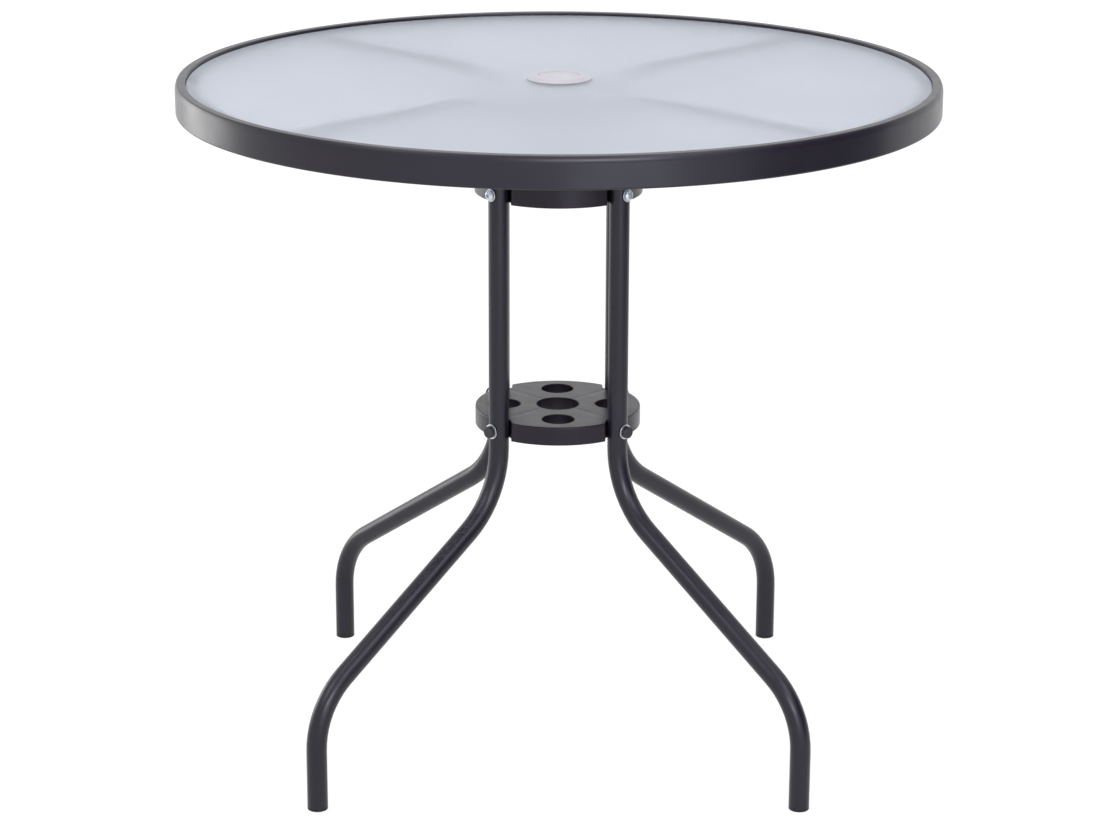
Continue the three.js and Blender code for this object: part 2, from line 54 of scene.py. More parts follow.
# Places and outer sizes that the frame holds
rim_low, rim_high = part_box("rim_hoop")
glass_low, glass_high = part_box("glass_top")
grommet_low, grommet_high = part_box("grommet")
cap_low, cap_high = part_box("hole_cap")
pad_low, pad_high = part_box("glass_pad_right")
disc_low, disc_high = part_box("upper_disc")
lower_disc_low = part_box("lower_disc")[0]
arm_height = sum(corner.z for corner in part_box("arm_spigot_back_right")) / 2
upper_bolt_height = sum(corner.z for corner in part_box("upper_bolt_back_right")) / 2
lower_bolt_height = sum(corner.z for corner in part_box("lower_bolt_back_right")) / 2
foot_middle = sum(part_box("foot_plug_back_right"), Vector()) / 2
foot_circle = math.hypot(foot_middle.x, foot_middle.y)
leg_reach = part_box("leg_back_right")[1].x * math.sqrt(2)
spigot_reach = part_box("arm_spigot_back_right")[1].x * math.sqrt(2)

# Rolled rim
rim_radius, rim_top, rim_bottom = rim_high.x, rim_high.z, rim_low.z
rim_sheet = 1.2 * mm
rim_shoulder_lean = math.radians(25)
rim_shoulder_height = 4.4 * mm     # from the top down to where the band starts to lean
rim_shoulder_radius = 14 * mm
rim_top_radius = 1.9 * mm
rim_inner_radius = 1.8 * mm
rim_hem_width = 5.5 * mm
rim_hem_radius = 2 * mm
ledge_width = 13 * mm
ledge_bend_radius = 1.6 * mm
rim_inner_wall = glass_high.x + gap

# Glass, pads, grommet and cap
glass_top, glass_bottom = glass_high.z, glass_low.z
glass_edge_round = 1.2 * mm
glass_hole_radius = 23 * mm
pad_edge_round = 0.4 * mm
flange_edge_height = 0.9 * mm
flange_edge_round = 0.8 * mm
crown_width = 5.5 * mm
crown_round = 1.6 * mm
neck_wall = 2.7 * mm
seat_width = 1.9 * mm
seat_depth = 2.4 * mm
bead_height = 2 * mm
bead_width = 0.8 * mm
cap_plate = 2.1 * mm
cap_edge_round = 0.6 * mm
cap_dish_depth = 0.25 * mm
cap_dish_share = 0.82              # of the plate's radius
cap_skirt_wall = 1.5 * mm
fine_round = 0.3 * mm

# Legs and foot plugs
tube_radius = 10.7 * mm
tube_wall = 1.2 * mm
tube_bore = tube_radius - tube_wall
tube_lip = 0.3 * mm
arm_end = leg_reach - tube_radius
column_circle = disc_high.x
knee_height = 279 * mm
ankle_height = 111 * mm
shoulder_bend = 66 * mm
knee_bend = 100 * mm
ankle_bend = 85 * mm
bend_flattening_share = 0.03
plug_flange = 2.2 * mm
plug_edge_round = 1.1 * mm
plug_insert = 14 * mm
plug_wall = 1.8 * mm

# Discs, moulded hollow from below
disc_thickness = disc_high.z - disc_low.z
disc_radius = disc_high.x
disc_wall = 2.6 * mm
disc_skin = 3 * mm
disc_edge_round = 1.6 * mm
hole_edge_round = 0.7 * mm
centre_hole_radius = 23 * mm
side_hole_radius = 17.5 * mm
side_hole_circle = 57.6 * mm
notch_clearance = 8.4 * mm
notch_corner_radius = 2.4 * mm
rib_thickness = 2.6 * mm
boss_front = 9 * mm
nut_slot_length = 9 * mm
sink_depth = 0.22 * mm
sink_half_width = 5 * mm
sink_cuts = 4                      # on either side of a sink's middle line
sink_cut_pitch = sink_half_width / 2

# Fasteners
bolt_radius = 3 * mm
bolt_head_radius = 5.5 * mm
bolt_head_height = 3.3 * mm
head_crown_share = 0.62            # of the head's radius
head_side_share = 0.45             # of the head's height
head_round_share = 0.35            # of the head's height
bolt_hole_radius = bolt_radius + 0.4 * mm
bolt_beyond_nut = 1.5 * mm
thread_pitch = 1 * mm
thread_depth = 0.45 * mm
thread_length = 14 * mm
socket_radius = 2.31 * mm          # to its corners
socket_depth = 1.8 * mm
socket_cone = 0.6 * mm
nut_flats = 10 * mm
nut_thickness = 5 * mm
nut_chamfer = 0.5 * mm
washer_thickness = 1.2 * mm
washer_edge_round = 0.3 * washer_thickness
upper_washer_radius = 6.7 * mm
lower_washer_radius = 8 * mm
bolt_cap_wall = 0.5 * mm
bolt_cap_roof = 0.8 * mm
bolt_cap_round = 1.2 * mm
spigot_length = 40 * mm
spigot_wall = 2 * mm
spigot_edge_round = 0.5 * mm
spigot_end = spigot_reach - tube_bore + gap
arm_screw_inset = 18 * mm
arm_screw_radius = 2.5 * mm
arm_screw_head_radius = 4.5 * mm
arm_screw_head_height = 2.6 * mm
arm_screw_length = 5.2 * mm
arm_screw_thread_from = 0.6 * mm
bolt_spin_step = 1.3               # radians, so that no two sockets stand alike

# Places along a leg's radius
notch_seat = column_circle - tube_radius - gap
washer_seat = column_circle + tube_radius + gap
head_seat = washer_seat + washer_thickness + gap
nut_face = notch_seat - boss_front - gap
bolt_length = head_seat - nut_face + nut_thickness + bolt_beyond_nut

# Facets
hoop_sides = 256
ring_sides = 96
hole_sides = 64
tube_sides = 48
screw_sides = 32
bend_step = math.radians(6)
crease_angle = math.radians(35)
round_steps = 4
washer_round_steps = 3
disc_edge_steps = 16
notch_steps = 24
notch_corner_steps = 8
hollow_wall_steps = 10
hollow_edge_steps = 24
hub_steps = 16
rings_per_pitch = 8                # along a thread
level_normal = 0.999               # least Z of a level face's normal

corners_of_table = ("back_right", "back_left", "front_left", "front_right")
sides_of_table = ("right", "back", "left", "front")
diagonals = [(k + 0.5) * quarter_turn for k in range(4)]


# Outlines in a plane

def arc(centre, radius, start, end, steps):
    """Points of an arc, both ends included."""
    angles = [start + (end - start) * k / steps for k in range(steps + 1)]
    return [(centre[0] + radius * math.cos(a), centre[1] + radius * math.sin(a)) for a in angles]


def circle(radius, sides):
    return arc((0, 0), radius, 0, 2 * math.pi, sides)[:-1]


def edge_round(radius, top, x=0):
    """Quarter arc from an upright line at x, inwards to a level top."""
    return arc((x + radius, top - radius), radius, math.pi, quarter_turn, round_steps)


def rounded(corners, steps=round_steps):
    """Closed outline through (x, y, radius) corners, each one rounded by its radius."""
    points = []
    for k, (x, y, radius) in enumerate(corners):
        if not radius:
            points.append((x, y))
            continue
        corner = Vector((x, y))
        back = (Vector(corners[k - 1][:2]) - corner).normalized()
        ahead = (Vector(corners[(k + 1) % len(corners)][:2]) - corner).normalized()
        half = back.angle(ahead) / 2
        centre = corner + (back + ahead).normalized() * radius / math.sin(half)
        start = corner + back * radius / math.tan(half) - centre
        end = corner + ahead * radius / math.tan(half) - centre
        turn = math.atan2(start.x * end.y - start.y * end.x, start.dot(end))
        angle = math.atan2(start.y, start.x)
        points += arc(centre, radius, angle, angle + turn, steps)
    return points


def square_to(direction):
    return Vector((-direction.y, direction.x))


def bent_line(corners):
    """Stations (place, direction, share of bend) along straight runs with round bends between."""
    places = [Vector(place) for place, radius in corners]
    headings = [(b - a).normalized() for a, b in zip(places, places[1:])]
    stations = [(places[0], headings[0], 0)]
    for k in range(1, len(places) - 1):
        before, after = headings[k - 1], headings[k]
        radius = corners[k][1]
        turn = math.atan2(before.x * after.y - before.y * after.x, before.dot(after))
        start = places[k] - before * radius * math.tan(abs(turn) / 2)
        centre = start + square_to(before) * math.copysign(radius, turn)
        steps = math.ceil(abs(turn) / bend_step)
        for step in range(steps + 1):
            swing = Matrix.Rotation(turn * step / steps, 2)
            stations.append((
                centre + swing @ (start - centre),
                swing @ before,
                math.sin(math.pi * step / steps),
            ))
    stations.append((places[-1], headings[-1], 0))
    return stations


def strip(corners, thickness):
    """Closed outline of a bent strip of sheet with rounded free edges."""
    stations = bent_line(corners)
    half = thickness / 2
    left = [place + square_to(heading) * half for place, heading, bend in stations]
    right = [place - square_to(heading) * half for place, heading, bend in stations]

    def free_edge(station, turn):
        place, heading, bend = station
        start = math.atan2(heading.y, heading.x) + turn
        return arc(place, half, start, start - math.pi, round_steps)[1:-1]

    end, start = free_edge(stations[-1], quarter_turn), free_edge(stations[0], -quarter_turn)
    return left + end + right[::-1] + start


# Meshes

def loft(rings, cyclic=False):
    """Skin over rings of as many points each, with flat ends unless it is cyclic."""
    bm = bmesh.new()
    loops = [[bm.verts.new(point) for point in ring] for ring in rings]
    pairs = list(zip(loops, loops[1:]))
    if cyclic:
        pairs.append((loops[-1], loops[0]))
    else:
        bm.faces.new(loops[0])
        bm.faces.new(loops[-1])
    for a, b in pairs:
        for k in range(len(a)):
            bm.faces.new((a[k - 1], a[k], b[k], b[k - 1]))
    return bm


def ring_of(radius, height, sides):
    return [(x, y, height) for x, y in circle(radius, sides)]


def lathe(outline, sides):
    """Closed (radius, height) outline turned about Z. Points on the axis become poles."""
    bm = loft([ring_of(radius, height, sides) for radius, height in outline], cyclic=True)
    bmesh.ops.remove_doubles(bm, verts=bm.verts, dist=merge_distance)
    return bm


def plate(outline, low, high):
    return loft([[(x, y, z) for x, y in outline] for z in (low, high)])


def plain_mesh(bm, name):
    mesh = bpy.data.meshes.new(name)
    bm.to_mesh(mesh)
    bm.free()
    return mesh


def smooth_mesh(bm, name):
    """Mesh that is smooth but for edges sharper than the crease angle."""
    mesh = plain_mesh(bm, name)
    mesh.shade_smooth()
    mesh.set_sharp_from_angle(angle=crease_angle)
    return mesh


def to_mesh(bm, name):
    """Smooth mesh with its faces pointing out."""
    bmesh.ops.recalc_face_normals(bm, faces=bm.faces)
    return smooth_mesh(bm, name)


def rod_mesh(radius, low, high):
    """Rod along Z that cuts a screw's hole."""
    return to_mesh(plate(circle(radius, screw_sides), low, high), "rod")


def new_object(name, data):
    """Object of a mesh, a lamp or a camera, in the scene."""
    item = bpy.data.objects.new(name, data)
    bpy.context.scene.collection.objects.link(item)
    return item


def carve(mesh, cutters, operation="DIFFERENCE"):
    """Mesh after each cutter is taken from it, or after it is kept only inside the cutter."""
    blank = new_object("blank", mesh)
    tools = [new_object("cutter", cutter) for cutter in cutters]
    for tool in tools:
        cut = blank.modifiers.new("cut", "BOOLEAN")
        cut.operation = operation
        cut.solver = "EXACT"
        cut.object = tool
    depsgraph = bpy.context.evaluated_depsgraph_get()
    carved = bpy.data.meshes.new_from_object(blank.evaluated_get(depsgraph))
    for scratch in [blank, *tools]:
        bpy.data.objects.remove(scratch)
    carved.name = mesh.name
    carved.set_sharp_from_angle(angle=crease_angle)
    return carved


def turned(mesh, angle, x=0, y=0, z=0):
    """The same mesh, moved and then turned about Z."""
    mesh.transform(Matrix.Rotation(angle, 4, "Z") @ Matrix.Translation((x, y, z)))
    return mesh


# A piece built along +Z is laid along +X, its own +Y becoming +Z
lay_along_x = Matrix(((0, 0, 1, 0), (1, 0, 0, 0), (0, 1, 0, 0), (0, 0, 0, 1)))
upside_down = Matrix.Rotation(math.pi, 4, "X")


def rim_mesh():
    half = rim_sheet / 2
    outer, inner = rim_radius - half, rim_inner_wall + half
    hem, top, ledge = rim_bottom + half, rim_top - half, pad_low.z - half
    rise = rim_shoulder_height - half
    corners = [
        ((rim_radius - rim_hem_width, hem), 0),
        ((outer, hem), rim_hem_radius - half),
        ((outer, top - rise), rim_shoulder_radius - half),
        ((outer - rise * math.tan(rim_shoulder_lean), top), rim_top_radius - half),
        ((inner, top), rim_inner_radius - half),
        ((inner, ledge), ledge_bend_radius - half),
        ((rim_inner_wall - ledge_width, ledge), 0),
    ]
    return to_mesh(lathe(strip(corners, rim_sheet), hoop_sides), "rim")


def glass_mesh():
    outline = rounded([
        (glass_hole_radius, glass_bottom, glass_edge_round),
        (glass_high.x, glass_bottom, glass_edge_round),
        (glass_high.x, glass_top, glass_edge_round),
        (glass_hole_radius, glass_top, glass_edge_round),
    ])
    return to_mesh(lathe(outline, hoop_sides), "glass")


def pad_mesh():
    """Clear bumper with round ends, along Y, on the ledge at +X."""
    end = (pad_high.x - pad_low.x) / 2
    straight = pad_high.y - end
    middle = (pad_high.x + pad_low.x) / 2

    def ring(inset, height):
        outline = arc((middle, straight), end - inset, 0, math.pi, 2 * round_steps)
        outline += arc((middle, -straight), end - inset, math.pi, 2 * math.pi, 2 * round_steps)
        return [(x, y, height) for x, y in outline]

    profile = [(0, pad_low.z), *edge_round(pad_edge_round, pad_high.z)]
    return to_mesh(loft([ring(inset, height) for inset, height in profile]), "pad")


def grommet_mesh():
    """Crowned flange on the glass, a recess for the cap and a neck with a snap bead."""
    neck = glass_hole_radius - gap
    bore = neck - neck_wall
    recess = bore + seat_width
    seat = grommet_high.z - seat_depth
    bead_top = glass_bottom - gap
    return to_mesh(lathe(rounded([
        (grommet_high.x, glass_top, 0),
        (grommet_high.x, glass_top + flange_edge_height, flange_edge_round),
        (recess + crown_width, grommet_high.z, crown_round),
        (recess, grommet_high.z, fine_round),
        (recess, seat, 0),
        (bore, seat, fine_round),
        (bore, grommet_low.z, fine_round),
        (neck, grommet_low.z, fine_round),
        (neck, bead_top - 2 * bead_height, 0),
        (neck + bead_width, bead_top - bead_height, fine_round),
        (neck, bead_top, 0),
        (neck, glass_top, 0),
    ]), ring_sides), "grommet")


def hole_cap_mesh():
    """Plate with a shallow dish, and a skirt inside the neck."""
    seat = cap_high.z - cap_plate
    skirt = glass_hole_radius - gap - neck_wall - gap
    dish = cap_high.x * cap_dish_share
    return to_mesh(lathe(rounded([
        (0, seat, 0),
        (skirt - cap_skirt_wall, seat, fine_round),
        (skirt - cap_skirt_wall, cap_low.z, fine_round),
        (skirt, cap_low.z, fine_round),
        (skirt, seat, 0),
        (cap_high.x, seat, fine_round),
        (cap_high.x, cap_high.z, cap_edge_round),
        (dish, cap_high.z, fine_round),
        (dish - cap_edge_round, cap_high.z - cap_dish_depth, fine_round),
        (0, cap_high.z - cap_dish_depth, 0),
    ]), ring_sides), "hole_cap")


def tube_rings(stations, radius):
    """Rings about a line in the XZ plane, a little flatter where it bends."""
    rings = []
    for place, heading, bend in stations:
        square = square_to(heading)
        across = radius * (1 - bend_flattening_share * bend)
        rings.append([
            (place.x + square.x * u * across, v * radius, place.y + square.y * u * across)
            for u, v in circle(1, tube_sides)
        ])
    return rings


def leg_mesh():
    """Arm, shoulder, column, knee, sloping run, ankle and foot of one tube."""
    stations = bent_line([
        ((arm_end, arm_height), 0),
        ((column_circle, arm_height), shoulder_bend),
        ((column_circle, knee_height), knee_bend),
        ((foot_circle, ankle_height), ankle_bend),
        ((foot_circle, plug_flange), 0),
    ])
    first, last = stations[0], stations[-1]
    inset_first = (first[0] + first[1] * tube_lip, first[1], 0)
    inset_last = (last[0] - last[1] * tube_lip, last[1], 0)
    line = [inset_first, *stations[1:-1], inset_last]
    rings = [
        *tube_rings([first], tube_radius - tube_lip),
        *tube_rings(line, tube_radius),
        *tube_rings([last], tube_radius - tube_lip),
        *tube_rings([last], tube_bore + tube_lip),
        *tube_rings(line[::-1], tube_bore),
        *tube_rings([first], tube_bore + tube_lip),
    ]
    tube = to_mesh(loft(rings, cyclic=True), "leg")

    def drill(radius, place, matrix):
        cutter = rod_mesh(radius, 0, 2 * (tube_radius + overrun))
        cutter.transform(Matrix.Translation(place) @ matrix)
        return cutter

    start = column_circle - tube_radius - overrun
    return carve(tube, [
        drill(bolt_hole_radius, (start, 0, upper_bolt_height), lay_along_x),
        drill(bolt_hole_radius, (start, 0, lower_bolt_height), lay_along_x),
        drill(arm_screw_radius + gap, (arm_end - arm_screw_inset, 0, arm_height), upside_down),
    ])


def foot_plug_mesh():
    insert = tube_bore - gap
    top = plug_flange + plug_insert
    return to_mesh(lathe(rounded([
        (0, 0, 0),
        (tube_radius, 0, plug_edge_round),
        (tube_radius, plug_flange - gap, fine_round),
        (insert, plug_flange - gap, 0),
        (insert, top, fine_round),
        (insert - plug_wall, top, fine_round),
        (insert - plug_wall, plug_flange, 0),
        (0, plug_flange, 0),
    ]), tube_sides), "foot_plug")


# Discs

notch_radius = tube_radius + notch_clearance
notch_centre = notch_seat + notch_radius
hub_radius = centre_hole_radius + disc_wall
skirt_radius = disc_radius - disc_wall
nut_slot_front = notch_seat - boss_front
nut_slot_back = nut_slot_front - nut_slot_length
nut_slot_half = nut_flats / 2 + gap
nut_corner = nut_flats / math.sqrt(3)
boss_back = nut_slot_back - disc_wall
boss_half = nut_slot_half + disc_wall


def spun(points, angle):
    turn = Matrix.Rotation(angle, 2)
    return [tuple(turn @ Vector(point)) for point in points]


def disc_outline(inset):
    """Edge of a disc drawn in by an inset, with a notch on each diagonal."""
    reach = disc_radius - notch_corner_radius
    span = notch_radius + notch_corner_radius
    spread = math.acos((reach ** 2 + notch_centre ** 2 - span ** 2) / (2 * reach * notch_centre))
    corner = (reach * math.cos(spread), reach * math.sin(spread))
    mirror = (corner[0], -corner[1])
    lean = math.atan2(corner[1], notch_centre - corner[0])
    edge, turn_in, notch = disc_radius - inset, notch_corner_radius - inset, notch_radius + inset
    quarter = [
        *arc((0, 0), edge, -quarter_turn / 2, -spread, disc_edge_steps),
        *arc(mirror, turn_in, -spread, lean, notch_corner_steps)[1:],
        *arc((notch_centre, 0), notch, math.pi + lean, math.pi - lean, notch_steps)[1:],
        *arc(corner, turn_in, -lean, spread, notch_corner_steps)[1:],
        *arc((0, 0), edge, spread, quarter_turn / 2, disc_edge_steps)[1:-1],
    ]
    return [point for diagonal in diagonals for point in spun(quarter, diagonal)]


def disc_blank():
    levels = [(0, 0), *edge_round(disc_edge_round, disc_thickness)]
    return to_mesh(loft([
        [(x, y, height) for x, y in disc_outline(inset)] for inset, height in levels
    ]), "disc")


def hollow_mesh():
    """Cutter for the hollow between two ribs, centred on +X, round the side hole's collar."""
    rib_half = rib_thickness / 2
    wall = notch_radius + disc_wall
    boss_meets_wall = notch_centre - math.sqrt(wall ** 2 - boss_half ** 2)
    edge_x = (skirt_radius ** 2 - wall ** 2 + notch_centre ** 2) / (2 * notch_centre)
    edge_y = math.sqrt(skirt_radius ** 2 - edge_x ** 2)
    start = math.atan2(boss_half, boss_meets_wall - notch_centre)
    end = math.atan2(edge_y, edge_x - notch_centre)
    side = spun([
        (math.sqrt(hub_radius ** 2 - rib_half ** 2), rib_half),
        (boss_back, rib_half),
        (boss_back, boss_half),
        *arc((notch_centre, 0), wall, start, end, hollow_wall_steps),
    ], -quarter_turn / 2)
    edge = math.atan2(side[-1][1], side[-1][0])
    hub = math.atan2(side[0][1], side[0][0])
    outline = [
        *side,
        *arc((0, 0), skirt_radius, edge, -edge, hollow_edge_steps)[1:-1],
        *[(x, -y) for x, y in side[::-1]],
        *arc((0, 0), hub_radius, -hub, hub, hub_steps)[1:-1],
    ]
    top = disc_thickness - disc_skin
    hollow = to_mesh(plate(outline, -overrun, top), "hollow")
    collar = to_mesh(plate(
        [(side_hole_circle + x, y) for x, y in circle(side_hole_radius + disc_wall, hole_sides)],
        -2 * overrun, top + overrun,
    ), "collar")
    return carve(hollow, [collar])


def hole_cutter(radius):
    """Rod along Z that opens out over a round edge at the disc's top."""
    top = disc_thickness
    return to_mesh(lathe([
        (0, -overrun),
        (radius, -overrun),
        *edge_round(hole_edge_round, top, radius),
        (radius + hole_edge_round, top + overrun),
        (0, top + overrun),
    ], hole_sides), "hole")


def box_mesh(low, high):
    outline = [(low[0], low[1]), (high[0], low[1]), (high[0], high[1]), (low[0], high[1])]
    return to_mesh(plate(outline, low[2], high[2]), "box")


def sink_marks(mesh):
    """Shallow sinks in the top skin over the ribs and bosses behind it."""
    bm = bmesh.new()
    bm.from_mesh(mesh)
    for diagonal in diagonals[:2]:
        across = Vector((1, 0, 0))
        across.rotate(Matrix.Rotation(diagonal, 3, "Z"))
        for cut in range(-sink_cuts, sink_cuts + 1):
            place = across * (cut * sink_cut_pitch)
            geometry = [*bm.verts, *bm.edges, *bm.faces]
            bmesh.ops.bisect_plane(bm, geom=geometry, plane_co=place, plane_no=across)
    top = disc_thickness - merge_distance
    top_faces = [face for face in bm.faces
                 if face.normal.z > level_normal and face.calc_center_median().z > top]
    bmesh.ops.triangulate(bm, faces=top_faces)
    inner = disc_radius - disc_edge_round - merge_distance
    for vert in bm.verts:
        reach = math.hypot(vert.co.x, vert.co.y)
        if vert.co.z < top or reach > inner:
            continue
        off = min(abs(vert.co.x - vert.co.y), abs(vert.co.x + vert.co.y)) / math.sqrt(2)
        share = max(0, 1 - (off / sink_half_width) ** 2)
        vert.co.z -= sink_depth * share ** 2
    return smooth_mesh(bm, mesh.name)


def disc_mesh():
    cutters = [hole_cutter(centre_hole_radius)]
    slot_low = (nut_slot_back, -nut_slot_half, -overrun)
    slot_high = (nut_slot_front, nut_slot_half, disc_thickness / 2 + nut_corner + gap)
    for k, diagonal in enumerate(diagonals):
        side = k * quarter_turn
        drill = rod_mesh(bolt_hole_radius, 0, boss_front + 2 * overrun)
        drill.transform(lay_along_x)
        slot = box_mesh(slot_low, slot_high)
        cutters += [
            turned(hollow_mesh(), side),
            turned(hole_cutter(side_hole_radius), side, side_hole_circle),
            turned(slot, diagonal),
            turned(drill, diagonal, nut_slot_front - overrun, 0, disc_thickness / 2),
        ]
    return sink_marks(carve(disc_blank(), cutters))


# Fasteners

def screw_mesh(radius, length, head_radius, head_height, thread_from):
    """Domed screw along Z, its head above z = 0, with a hex socket and a real thread."""
    rings = [ring_of(reach, -length, screw_sides) for reach in (0, radius - thread_depth)]
    steps = round((length - thread_from) / thread_pitch * rings_per_pitch)
    for k in range(steps + 1):
        height = -length + (length - thread_from) * k / steps
        fade = min(1, k / rings_per_pitch, (steps - k) / rings_per_pitch)
        taper = thread_depth * max(0, 1 - k / rings_per_pitch)
        ring = []
        for j in range(screw_sides):
            angle = 2 * math.pi * j / screw_sides
            phase = (height / thread_pitch - j / screw_sides) % 1
            depth = thread_depth * abs(2 * phase - 1)
            reach = radius - depth * fade - taper
            ring.append((reach * math.cos(angle), reach * math.sin(angle), height))
        rings.append(ring)
    crown = head_radius * head_crown_share
    dome = rounded([
        (radius, 0, 0),
        (head_radius, 0, fine_round),
        (head_radius, head_height * head_side_share, fine_round),
        (crown, head_height, head_height * head_round_share),
        (0, head_height, 0),
    ])
    rings += [ring_of(x, z, screw_sides) for x, z in dome]
    bm = loft(rings, cyclic=True)
    bmesh.ops.remove_doubles(bm, verts=bm.verts, dist=merge_distance)
    blank = to_mesh(bm, "screw")
    floor = head_height - socket_depth
    hexagon = circle(socket_radius, 6)
    rings = [[(x, y, z) for x, y in hexagon] for z in (floor, head_height + overrun)]
    rings.insert(0, [(0, 0, floor - socket_cone)] * 6)
    bm = loft(rings)
    bmesh.ops.remove_doubles(bm, verts=bm.verts, dist=merge_distance)
    return carve(blank, [to_mesh(bm, "socket")])


def washer_mesh(radius):
    return to_mesh(lathe(rounded([
        (bolt_hole_radius, 0, washer_edge_round),
        (radius, 0, washer_edge_round),
        (radius, washer_thickness, washer_edge_round),
        (bolt_hole_radius, washer_thickness, washer_edge_round),
    ], washer_round_steps), hole_sides), "washer")


def nut_mesh():
    """Hex nut with its corners up and down, chamfered at both ends."""
    hexagon = [(y, x) for x, y in circle(nut_corner, 6)]
    prism = to_mesh(plate(hexagon, 0, nut_thickness), "nut")
    barrel = to_mesh(lathe([
        (0, 0),
        (nut_flats / 2, 0),
        (nut_corner, nut_chamfer),
        (nut_corner, nut_thickness - nut_chamfer),
        (nut_flats / 2, nut_thickness),
        (0, nut_thickness),
    ], hole_sides), "barrel")
    bore = rod_mesh(bolt_radius + gap / 2, -overrun, nut_thickness + overrun)
    return carve(carve(prism, [barrel], "INTERSECT"), [bore])


def bolt_cap_mesh():
    inside = bolt_head_radius + gap
    outside = inside + bolt_cap_wall
    depth = bolt_head_height + 2 * gap
    top = depth + bolt_cap_roof
    return to_mesh(lathe(rounded([
        (0, depth, 0),
        (inside, depth, fine_round),
        (inside, 0, 0),
        (outside, 0, 0),
        (outside, top, bolt_cap_round),
        (0, top, 0),
    ]), hole_sides), "bolt_cap")


def spigot_mesh():
    """Stub along Z for the inside of an arm's end, tapped for its screw."""
    outer = tube_bore - gap
    stub = to_mesh(lathe(rounded([
        (outer - spigot_wall, 0, spigot_edge_round),
        (outer, 0, spigot_edge_round),
        (outer, spigot_length, 0),
        (outer - spigot_wall, spigot_length, 0),
    ]), tube_sides), "arm_spigot")
    tap = rod_mesh(arm_screw_radius, 0, tube_radius)
    screw_place = arm_end - arm_screw_inset - (spigot_end - spigot_length)
    tap.transform(Matrix.Translation((0, 0, screw_place)) @ Matrix.Rotation(quarter_turn, 4, "X"))
    return carve(stub, [tap])


# Materials

noise_range = (0.3, 0.7)           # where most of a noise texture's values lie


def tree_of(owner):
    owner.use_nodes = True
    return owner.node_tree.nodes, owner.node_tree.links


def map_range(nodes, links, value, old, new):
    """A value taken from one (low, high) range to another."""
    node = nodes.new("ShaderNodeMapRange")
    node.inputs["From Min"].default_value, node.inputs["From Max"].default_value = old
    node.inputs["To Min"].default_value, node.inputs["To Max"].default_value = new
    links.new(value, node.inputs["Value"])
    return node.outputs["Result"]


class Finish:
    """A material round one Principled shader, with its textures in object coordinates."""

    def __init__(self, name, **sockets):
        self.material = bpy.data.materials.new(name)
        self.nodes, self.links = tree_of(self.material)
        self.shader = self.nodes["Principled BSDF"]
        self.place = self.nodes.new("ShaderNodeTexCoord").outputs["Object"]
        for socket, value in sockets.items():
            self.shader.inputs[socket.replace("_", " ")].default_value = value

    def noise(self, scale, detail):
        """Noise of a scale per metre, with so many layers of finer detail."""
        texture = self.nodes.new("ShaderNodeTexNoise")
        texture.inputs["Scale"].default_value = scale
        texture.inputs["Detail"].default_value = detail
        self.links.new(self.place, texture.inputs["Vector"])
        return texture.outputs["Fac"]

    def ramp(self, noise, low, high):
        """Value between two numbers, from a noise."""
        return map_range(self.nodes, self.links, noise, noise_range, (low, high))

    def mix(self, share, first, second):
        """Colour between two colours."""
        node = self.nodes.new("ShaderNodeMix")
        node.data_type = "RGBA"
        self.links.new(share, node.inputs["Factor"])
        colours = [socket for socket in node.inputs if socket.type == "RGBA"]
        for socket, colour in zip(colours, (first, second)):
            socket.default_value = (*colour, 1)
        return next(socket for socket in node.outputs if socket.type == "RGBA")

    def use(self, socket, value):
        self.links.new(value, self.shader.inputs[socket])

    def bump(self, layers):
        """Bumps of (height texture, depth in metres) laid over one another."""
        normal = None
        for height, depth in layers:
            node = self.nodes.new("ShaderNodeBump")
            node.inputs["Distance"].default_value = depth
            self.links.new(height, node.inputs["Height"])
            if normal is not None:
                self.links.new(normal, node.inputs["Normal"])
            normal = node.outputs["Normal"]
        self.use("Normal", normal)


def powder_coat():
    finish = Finish("powder_coat", Roughness=0.3, Specular_IOR_Level=0.36)
    cloudy = finish.ramp(finish.noise(9, 3), 0, 1)
    finish.use("Base Color", finish.mix(cloudy, (0.0135, 0.011, 0.019), (0.0175, 0.0145, 0.024)))
    finish.use("Roughness", finish.ramp(finish.noise(40, 3), 0.28, 0.32))
    finish.bump([(finish.noise(650, 2), 0.006 * mm), (finish.noise(2600, 2), 0.003 * mm)])
    return finish.material


def moulded_plastic():
    finish = Finish("moulded_plastic", Roughness=0.3, Specular_IOR_Level=0.7,
                    Specular_Tint=(0.4, 0.37, 0.4, 1))
    cloudy = finish.ramp(finish.noise(14, 4), 0, 1)
    finish.use("Base Color", finish.mix(cloudy, (0.012, 0.009, 0.0145), (0.016, 0.0125, 0.019)))
    finish.use("Roughness", finish.ramp(finish.noise(60, 3), 0.28, 0.34))
    finish.bump([(finish.noise(1400, 2), 0.005 * mm), (finish.noise(60, 2), 0.015 * mm)])
    return finish.material


def black_plastic():
    finish = Finish("black_plastic", Roughness=0.5, IOR=1.47)
    speckled = finish.noise(120, 2)
    finish.use("Base Color", finish.mix(speckled, (0.016, 0.015, 0.018), (0.024, 0.023, 0.026)))
    finish.use("Roughness", finish.ramp(finish.noise(200, 2), 0.42, 0.58))
    finish.bump([(finish.noise(1800, 2), 0.02 * mm)])
    return finish.material


def zinc():
    finish = Finish("zinc", Metallic=0.95, Roughness=0.3)
    spangled = finish.noise(300, 3)
    finish.use("Base Color", finish.mix(spangled, (0.50, 0.54, 0.58), (0.66, 0.69, 0.74)))
    finish.use("Roughness", finish.ramp(finish.noise(900, 3), 0.28, 0.42))
    finish.bump([(finish.noise(2500, 2), 0.01 * mm)])
    return finish.material


